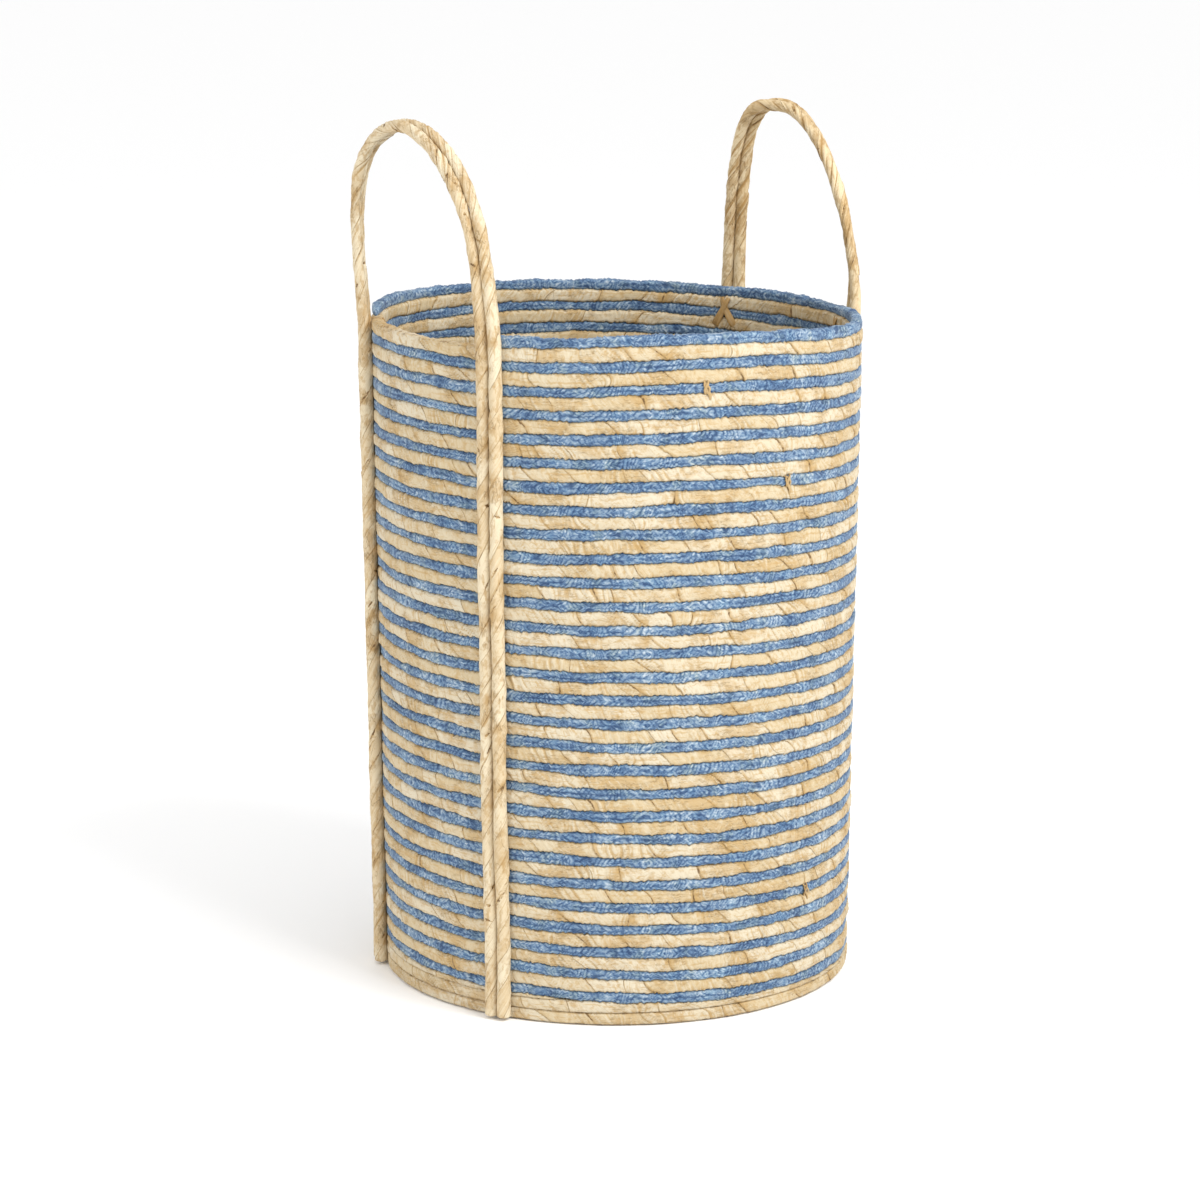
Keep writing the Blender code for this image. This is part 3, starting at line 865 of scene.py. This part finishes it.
def build_handles(cord_materials):
    """Two cords for each handle, bending at the hinge line over the rim."""
    for facing, label in LABELS.items():
        for outer, cord in ((True, "outer"), (False, "inner")):
            rope = Rope()
            add_cord(rope, handle_path(facing, outer), facing, 40 + 3 * facing + outer)
            piece = rope.build(f"handle_{label}_{cord}_cord_twisted", cord_materials[facing])
            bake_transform(piece)
            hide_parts(f"handle_{label}_loop_{cord}_cord",
                        f"handle_{label}_leg_a_{cord}_cord", f"handle_{label}_leg_b_{cord}_cord")


TIE_THICKNESS = 0.0016
TIE_FEET, TIE_HEADS = 0.0100, 0.0036     # how far the two strips are from the middle


def build_lashings(cord_material):
    """Husk ties inside the rim behind each leg: two strips that cross."""
    for facing, label in LABELS.items():
        for side, end in ((-1, "b"), (1, "a")):
            node = f"rim_lashing_{label}_{end}"
            low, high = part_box(node)
            rope = Rope()
            for cross in (-1, 1):
                add_tie(rope, leg_angle(facing, side), low[2], high[2], cross)
            rope.finish(node, "tie", cord_material, "handle_cord")


def add_tie(rope, angle, low, high, cross):
    """One flat husk strip across the inner face of the wall: the two cross near their tops."""
    rng = np.random.default_rng(int(1000 * abs(angle)) + cross + 1)
    part = np.linspace(0, 1, 40)
    sideways = cross * (TIE_FEET * (1 - part) ** 1.2 - TIE_HEADS * part)
    height = low + 0.001 + (high - low - 0.002) * part
    ends = np.abs(2 * part - 1) ** 5
    reach = outer_radius(height) - ROPE_THICKNESS - 0.0011 - 0.0007 * (cross > 0) * part
    width = 0.0042 + 0.0030 * (1 - part)
    # a crest under 1 gives the whole strip part of the golden that the husk material paints as
    # shade in creases
    values = {"along": part[:, None] * 0.03, "tone": 0.3 * (cross > 0), "crest": 0.5,
              "pleat": rng.normal(size=(1, ROUND))}
    add_strip(rope, reach + 0.0018 * ends, angle + sideways / RIM_RADIUS, height, width,
              TIE_THICKNESS * np.ones(len(part)), 0.25 * np.sin(5 * part), values)


# -------------------- materials
THREAD_SLANT = math.radians(33.0)    # of the blue braid's threads, from the rope's run
BUMP_STRENGTH = 0.9


class Nodes:
    """Short calls for building one material's nodes."""

    def __init__(self, name):
        self.material = bpy.data.materials.new(name)
        self.material.use_nodes = True
        self.tree = self.material.node_tree
        self.shader = self.tree.nodes["Principled BSDF"]

    def new(self, kind):
        return self.tree.nodes.new("ShaderNode" + kind)

    def feed(self, node, **sources):
        """Sets or links inputs of a node. A space in an input's name is written as _."""
        for name, source in sources.items():
            self.link(source, node.inputs[name.replace("_", " ")])
        return node

    def link(self, source, target):
        if isinstance(source, (int, float)):
            target.default_value = source
        elif isinstance(source, tuple):
            target.default_value = (*source, 1.0)
        else:
            self.tree.links.new(source, target)

    def value(self, name):
        node = self.new("Attribute")
        node.attribute_name = name
        return node.outputs["Fac"]

    def math(self, operation, a, b=0.0, c=0.0):
        node = self.new("Math")
        node.operation = operation
        for source, target in zip((a, b, c), node.inputs):
            self.link(source, target)
        return node.outputs[0]

    def times(self, a, b):
        return self.math("MULTIPLY", a, b)

    def plus(self, base, source, part):
        """base with part of source added."""
        return self.math("MULTIPLY_ADD", source, part, base)

    def size(self, source):
        return self.math("ABSOLUTE", source)

    def centred(self, source):
        """A noise with its middle at 0."""
        return self.math("SUBTRACT", source, 0.5)

    def vector(self, x, y, z):
        return self.feed(self.new("CombineXYZ"), X=x, Y=y, Z=z).outputs[0]

    def scaled(self, x, by_x, y, by_y, z, by_z):
        """A vector of three values, each times its own constant."""
        return self.vector(self.times(x, by_x), self.times(y, by_y), self.times(z, by_z))

    def threads(self, along, side, sign):
        """Noise on threads that run at THREAD_SLANT to the rope, stretched along them."""
        cos, sin = math.cos(THREAD_SLANT), math.sin(THREAD_SLANT) * sign
        over = self.plus(self.times(along, -sin), side, cos)
        down = self.plus(self.times(along, cos), side, sin)
        return self.fibres(3.0, 0.52, over, 610.0, down, 200.0, side, 60.0)

    def place(self):
        return self.new("TexCoord").outputs["Object"]

    def noise(self, vector, scale, detail, roughness):
        node = self.feed(self.new("TexNoise"), Vector=vector, Scale=scale, Detail=detail,
                         Roughness=roughness)
        return node.outputs["Fac"]

    def fibres(self, detail, roughness, *scaled):
        """Noise stretched along a rope's fibres: three values, each with its own scale."""
        return self.noise(self.scaled(*scaled), 1.0, detail, roughness)

    def ramp(self, source, *stops):
        """Stops are (place, colour)."""
        node = self.new("ValToRGB")
        elements = node.color_ramp.elements
        while len(elements) < len(stops):
            elements.new(0.5)
        for element, (place, colour) in zip(elements, stops):
            element.position = place
            element.color = (*colour, 1.0)
        return self.feed(node, Fac=source).outputs[0]

    def mask(self, source, low, high):
        """0 at low and 1 at high, smooth between. low may be over high."""
        node = self.new("MapRange")
        node.interpolation_type = "SMOOTHSTEP"
        return self.feed(node, Value=source, From_Min=low, From_Max=high).outputs["Result"]

    def mix(self, factor, a, b, blend="MIX"):
        node = self.new("Mix")
        node.data_type = "RGBA"
        node.blend_type = blend
        return self.feed(node, Factor=factor, A=a, B=b).outputs["Result"]

    def tint(self, colour, target, source, low, high, amount):
        """A colour mixed with target by amount where source goes from low to high."""
        return self.mix(self.times(self.mask(source, low, high), amount), colour, target)

    def bump(self, height, distance):
        node = self.feed(self.new("Bump"), Strength=BUMP_STRENGTH, Distance=distance,
                         Height=height)
        return node.outputs[0]

    def finish(self, colour, rough, **others):
        self.feed(self.shader, Base_Color=colour, Roughness=rough, **others)
        return self.material


def husk_material(name, colours, fibre=1.0, pleat_valley_shade=0.62):
    """Dry maize husk: pleats and fibres along the strips, golden smudges, ragged dark seams, with
    a painted highlight and shade on the pleats and painted shade in the creases and at the joints
    between courses.
    """
    pale, warm, golden, brown = colours
    shadow = tuple(0.55 * part for part in golden)
    nodes = Nodes(name)
    wrap, across, along, seam, tone, crest, pleat = (
        nodes.value(key) for key in ("wrap", "across", "along", "seam", "tone", "crest", "pleat"))
    place = nodes.place()
    fibres = nodes.fibres(4.0, 0.62, wrap, 1300.0, across, 1.6, tone, 37.0)
    streaks = nodes.fibres(3.0, 0.60, wrap, 310.0, across, 1.2, tone, 11.0)
    creases = nodes.fibres(3.0, 0.6, along, 60.0, across, 5.0, tone, 5.0)
    bend = nodes.fibres(3.0, 0.62, along, 42.0, across, 2.6, tone, 3.0)
    patches = nodes.noise(place, 34.0, 4.0, 0.62)
    mottle = nodes.noise(place, 170.0, 3.0, 0.6)
    breaks = nodes.noise(place, 260.0, 2.0, 0.5)
    # the strips' own tones, golden smudges, pale and golden fibres, and a painted highlight on the
    # pleats' ridges with painted shade in their valleys
    colour = nodes.mix(nodes.mask(tone, 0.10, 0.90), warm, pale)
    near = nodes.mask(nodes.size(seam), 0.0120, 0.0015)
    smudge = nodes.times(nodes.mask(patches, 0.46, 0.62), nodes.plus(0.58, near, 0.40))
    colour = nodes.mix(smudge, colour, golden)
    # pleat follows the relief's height: pale where it is high is a painted highlight, and golden
    # where it is low is painted shade
    for source, low, high, amount, target in (
            (mottle, 0.52, 0.68, 0.55, golden), (pleat, 0.3, 1.8, 0.55, pale),
            (streaks, 0.54, 0.70, 0.55, pale), (pleat, -0.25, -1.9, pleat_valley_shade, golden),
            (streaks, 0.44, 0.27, 0.60, golden), (fibres, 0.48, 0.28, 0.55 * fibre, golden),
            (creases, 0.43, 0.35, 0.55, golden)):
        colour = nodes.tint(colour, target, source, low, high, amount)
    # thin wavy folds
    line = nodes.mask(nodes.size(nodes.centred(bend)), 0.020, 0.004)
    line = nodes.times(line, nodes.mask(patches, 0.44, 0.58))
    colour = nodes.mix(nodes.times(line, 0.62), colour, shadow)
    # shade on both sides of a seam, and the ragged seam itself
    after = nodes.times(nodes.mask(seam, 0.0046, 0.0008), nodes.mask(seam, -0.0004, 0.0))
    colour = nodes.mix(nodes.times(after, 0.70), colour, golden)
    before = nodes.times(nodes.mask(seam, -0.0026, 0.0), nodes.mask(seam, 0.0003, 0.0))
    colour = nodes.mix(nodes.times(before, 0.50), colour, golden)
    ragged = nodes.plus(nodes.size(seam), nodes.centred(mottle), 0.0034)
    shown = nodes.plus(0.14, nodes.mask(breaks, 0.42, 0.58), 0.74)
    seam_line = nodes.times(nodes.mask(ragged, 0.00120, 0.00030), shown)
    colour = nodes.mix(seam_line, colour, brown)
    # painted shade in the middle crease and at the joint with the next course, and painted shadow
    # flecks in the crevice there
    colour = nodes.tint(colour, golden, crest, 0.90, 0.45, 0.60)
    edge = nodes.size(across)
    colour = nodes.tint(colour, golden, edge, 0.44, 0.60, 0.16)
    crevice_shadow = nodes.times(nodes.mask(edge, 0.40, 0.50), nodes.mask(breaks, 0.57, 0.66))
    colour = nodes.mix(nodes.times(crevice_shadow, 0.55), colour, brown)
    height = nodes.plus(nodes.times(streaks, 1.25), fibres, 0.45)
    height = nodes.plus(height, creases, 0.6)
    height = nodes.plus(height, line, -0.20)
    height = nodes.plus(height, nodes.mask(ragged, 0.0011, 0.0002), -0.35)
    return nodes.finish(colour, nodes.plus(0.76, streaks, -0.22), Specular_IOR_Level=0.35,
                        Normal=nodes.bump(height, 0.00062 * fibre))


def blue_material(name, colours):
    """Blue braid: slanting threads that cross in patches, pale flecks, a painted highlight on its
    bumps and painted shade in its hollows and towards its top and underside.
    """
    dark, mid, light, fleck = colours
    nodes = Nodes(name)
    along, across, crest = (nodes.value(key) for key in ("along", "across", "crest"))
    place = nodes.place()
    side = nodes.times(nodes.size(across), BLUE_COURSE)
    first, second = nodes.threads(along, side, 1.0), nodes.threads(along, side, -1.0)
    which = nodes.mask(nodes.noise(place, 85.0, 2.0, 0.5), 0.44, 0.56)
    threads = nodes.plus(nodes.times(first, which), second, nodes.math("SUBTRACT", 1.0, which))
    grain = nodes.noise(place, 800.0, 2.0, 0.6)
    tone = nodes.noise(place, 44.0, 3.0, 0.6)
    hue = nodes.noise(place, 75.0, 2.0, 0.55)
    lines = nodes.fibres(2.0, 0.55, along, 48.0, across, 4.6, crest, 0.4)
    # crest lightens the ramp on the braid's bumps: a painted highlight
    shade = nodes.plus(nodes.times(crest, 0.11), threads, 0.56)
    shade = nodes.plus(shade, nodes.centred(tone), 0.32)
    shade = nodes.plus(shade, nodes.centred(lines), 0.22)
    colour = nodes.ramp(shade, (0.235, dark), (0.335, mid), (0.415, light), (0.525, fleck))
    colour = nodes.tint(colour, light, grain, 0.50, 0.75, 0.25)
    for low, high, amount, filtered in ((0.50, 0.68, 0.55, (0.78, 0.94, 1.0)),
                                        (0.48, 0.32, 0.85, (1.0, 0.97, 0.85))):
        colour = nodes.mix(nodes.times(nodes.mask(hue, low, high), amount), colour, filtered,
                           "MULTIPLY")
    # painted shade in the hollows between the bumps and in the groove between the braid's rows
    colour = nodes.tint(colour, dark, crest, 0.50, 0.05, 0.60)
    # painted shade towards the rope's top and underside, where the husk courses shade it
    colour = nodes.tint(colour, dark, nodes.size(across), 0.44, 0.62, 0.14)
    return nodes.finish(colour, nodes.plus(0.95, threads, -0.20), Specular_IOR_Level=0.2,
                        Sheen_Weight=0.12, Sheen_Roughness=0.5,
                        Normal=nodes.bump(nodes.plus(threads, grain, 0.35), 0.0004))


# -------------------- studio
VIEW_AZIMUTH = math.radians(-31.5)
CAMERA_DISTANCE = 3.459          # level distance from the basket's axis
CAMERA_HEIGHT = 1.088
CAMERA_PITCH = math.radians(12.76)
LENS = 128.85
SIDE_SHIFT = -0.01367
MIDDLE_HEIGHT = 0.35             # the lights face this point of the axis
FLOOR_REACH = 24.0
FLOOR_DROP = 0.0004              # the floor lies this far under z = 0, so that no face meets it


def build_camera():
    data = bpy.data.cameras.new("camera")
    data.lens = LENS
    data.sensor_width = 36.0
    data.shift_x = SIDE_SHIFT
    data.clip_end = 60.0
    camera = bpy.data.objects.new("camera", data)
    camera.location = (math.sin(VIEW_AZIMUTH) * CAMERA_DISTANCE,
                       -math.cos(VIEW_AZIMUTH) * CAMERA_DISTANCE, CAMERA_HEIGHT)
    camera.rotation_euler = (math.pi / 2 - CAMERA_PITCH, 0.0, VIEW_AZIMUTH)
    bpy.context.scene.collection.objects.link(camera)
    bpy.context.scene.camera = camera


def add_light(name, azimuth, elevation, distance, size, power):
    """A square soft light that faces the basket. Azimuth is counted from the camera."""
    data = bpy.data.lights.new(name, "AREA")
    data.size = size
    data.energy = power
    light = bpy.data.objects.new(name, data)
    turned = VIEW_AZIMUTH + math.radians(azimuth)
    tilt = math.radians(elevation)
    away = Vector((math.sin(turned) * math.cos(tilt), -math.cos(turned) * math.cos(tilt),
                   math.sin(tilt)))
    light.location = Vector((0.0, 0.0, MIDDLE_HEIGHT)) + away * distance
    light.rotation_mode = "QUATERNION"
    light.rotation_quaternion = away.to_track_quat("Z", "Y")
    bpy.context.scene.collection.objects.link(light)


def build_studio():
    mesh = bpy.data.meshes.new("floor")
    corners = [(FLOOR_REACH * x, FLOOR_REACH * y, 0.0)
               for x, y in ((-1, -1), (1, -1), (1, 1), (-1, 1))]
    mesh.from_pydata(corners, [], [(0, 1, 2, 3)])
    mesh.materials.append(Nodes("floor_white").finish((0.975, 0.975, 0.975), 0.9))
    floor = bpy.data.objects.new("floor", mesh)
    floor.location.z = -FLOOR_DROP
    bpy.context.scene.collection.objects.link(floor)
    world = bpy.data.worlds.new("studio")
    world.use_nodes = True
    background = world.node_tree.nodes["Background"]
    background.inputs["Color"].default_value = (1.0, 1.0, 1.0, 1.0)
    background.inputs["Strength"].default_value = 1.0
    bpy.context.scene.world = world
    add_light("key", azimuth=47, elevation=42, distance=2.6, size=1.3, power=52)
    add_light("fill", azimuth=-52, elevation=12, distance=3.0, size=1.8, power=16)
    bpy.context.scene.view_settings.view_transform = "Standard"


# Pale, warm, golden and brown of the husk, and dark, mid, light and fleck of the blue.
HUSK = ((0.605, 0.535, 0.400), (0.545, 0.440, 0.275), (0.440, 0.282, 0.108), (0.14, 0.072, 0.022))
CORD = ((0.69, 0.60, 0.43), (0.61, 0.485, 0.305), (0.42, 0.265, 0.105), (0.12, 0.06, 0.018))
GOLDEN = ((0.69, 0.565, 0.365), (0.595, 0.44, 0.240), (0.36, 0.210, 0.068), (0.11, 0.055, 0.016))
BLUE = ((0.030, 0.060, 0.132), (0.090, 0.158, 0.268), (0.205, 0.286, 0.380), (0.46, 0.52, 0.565))


def main():
    husk = husk_material("husk", HUSK)
    golden_cord = husk_material("husk_cord_golden", GOLDEN, fibre=0.8, pleat_valley_shade=1.0)
    cord = husk_material("husk_cord", CORD, fibre=0.8, pleat_valley_shade=0.90)
    blue = blue_material("blue_braid", BLUE)
    build_wall(husk, blue)
    build_rim(blue)
    build_foot(husk)
    build_base(husk)
    build_handles({-1: cord, 1: golden_cord})
    build_lashings(golden_cord)
    build_camera()
    build_studio()


main()
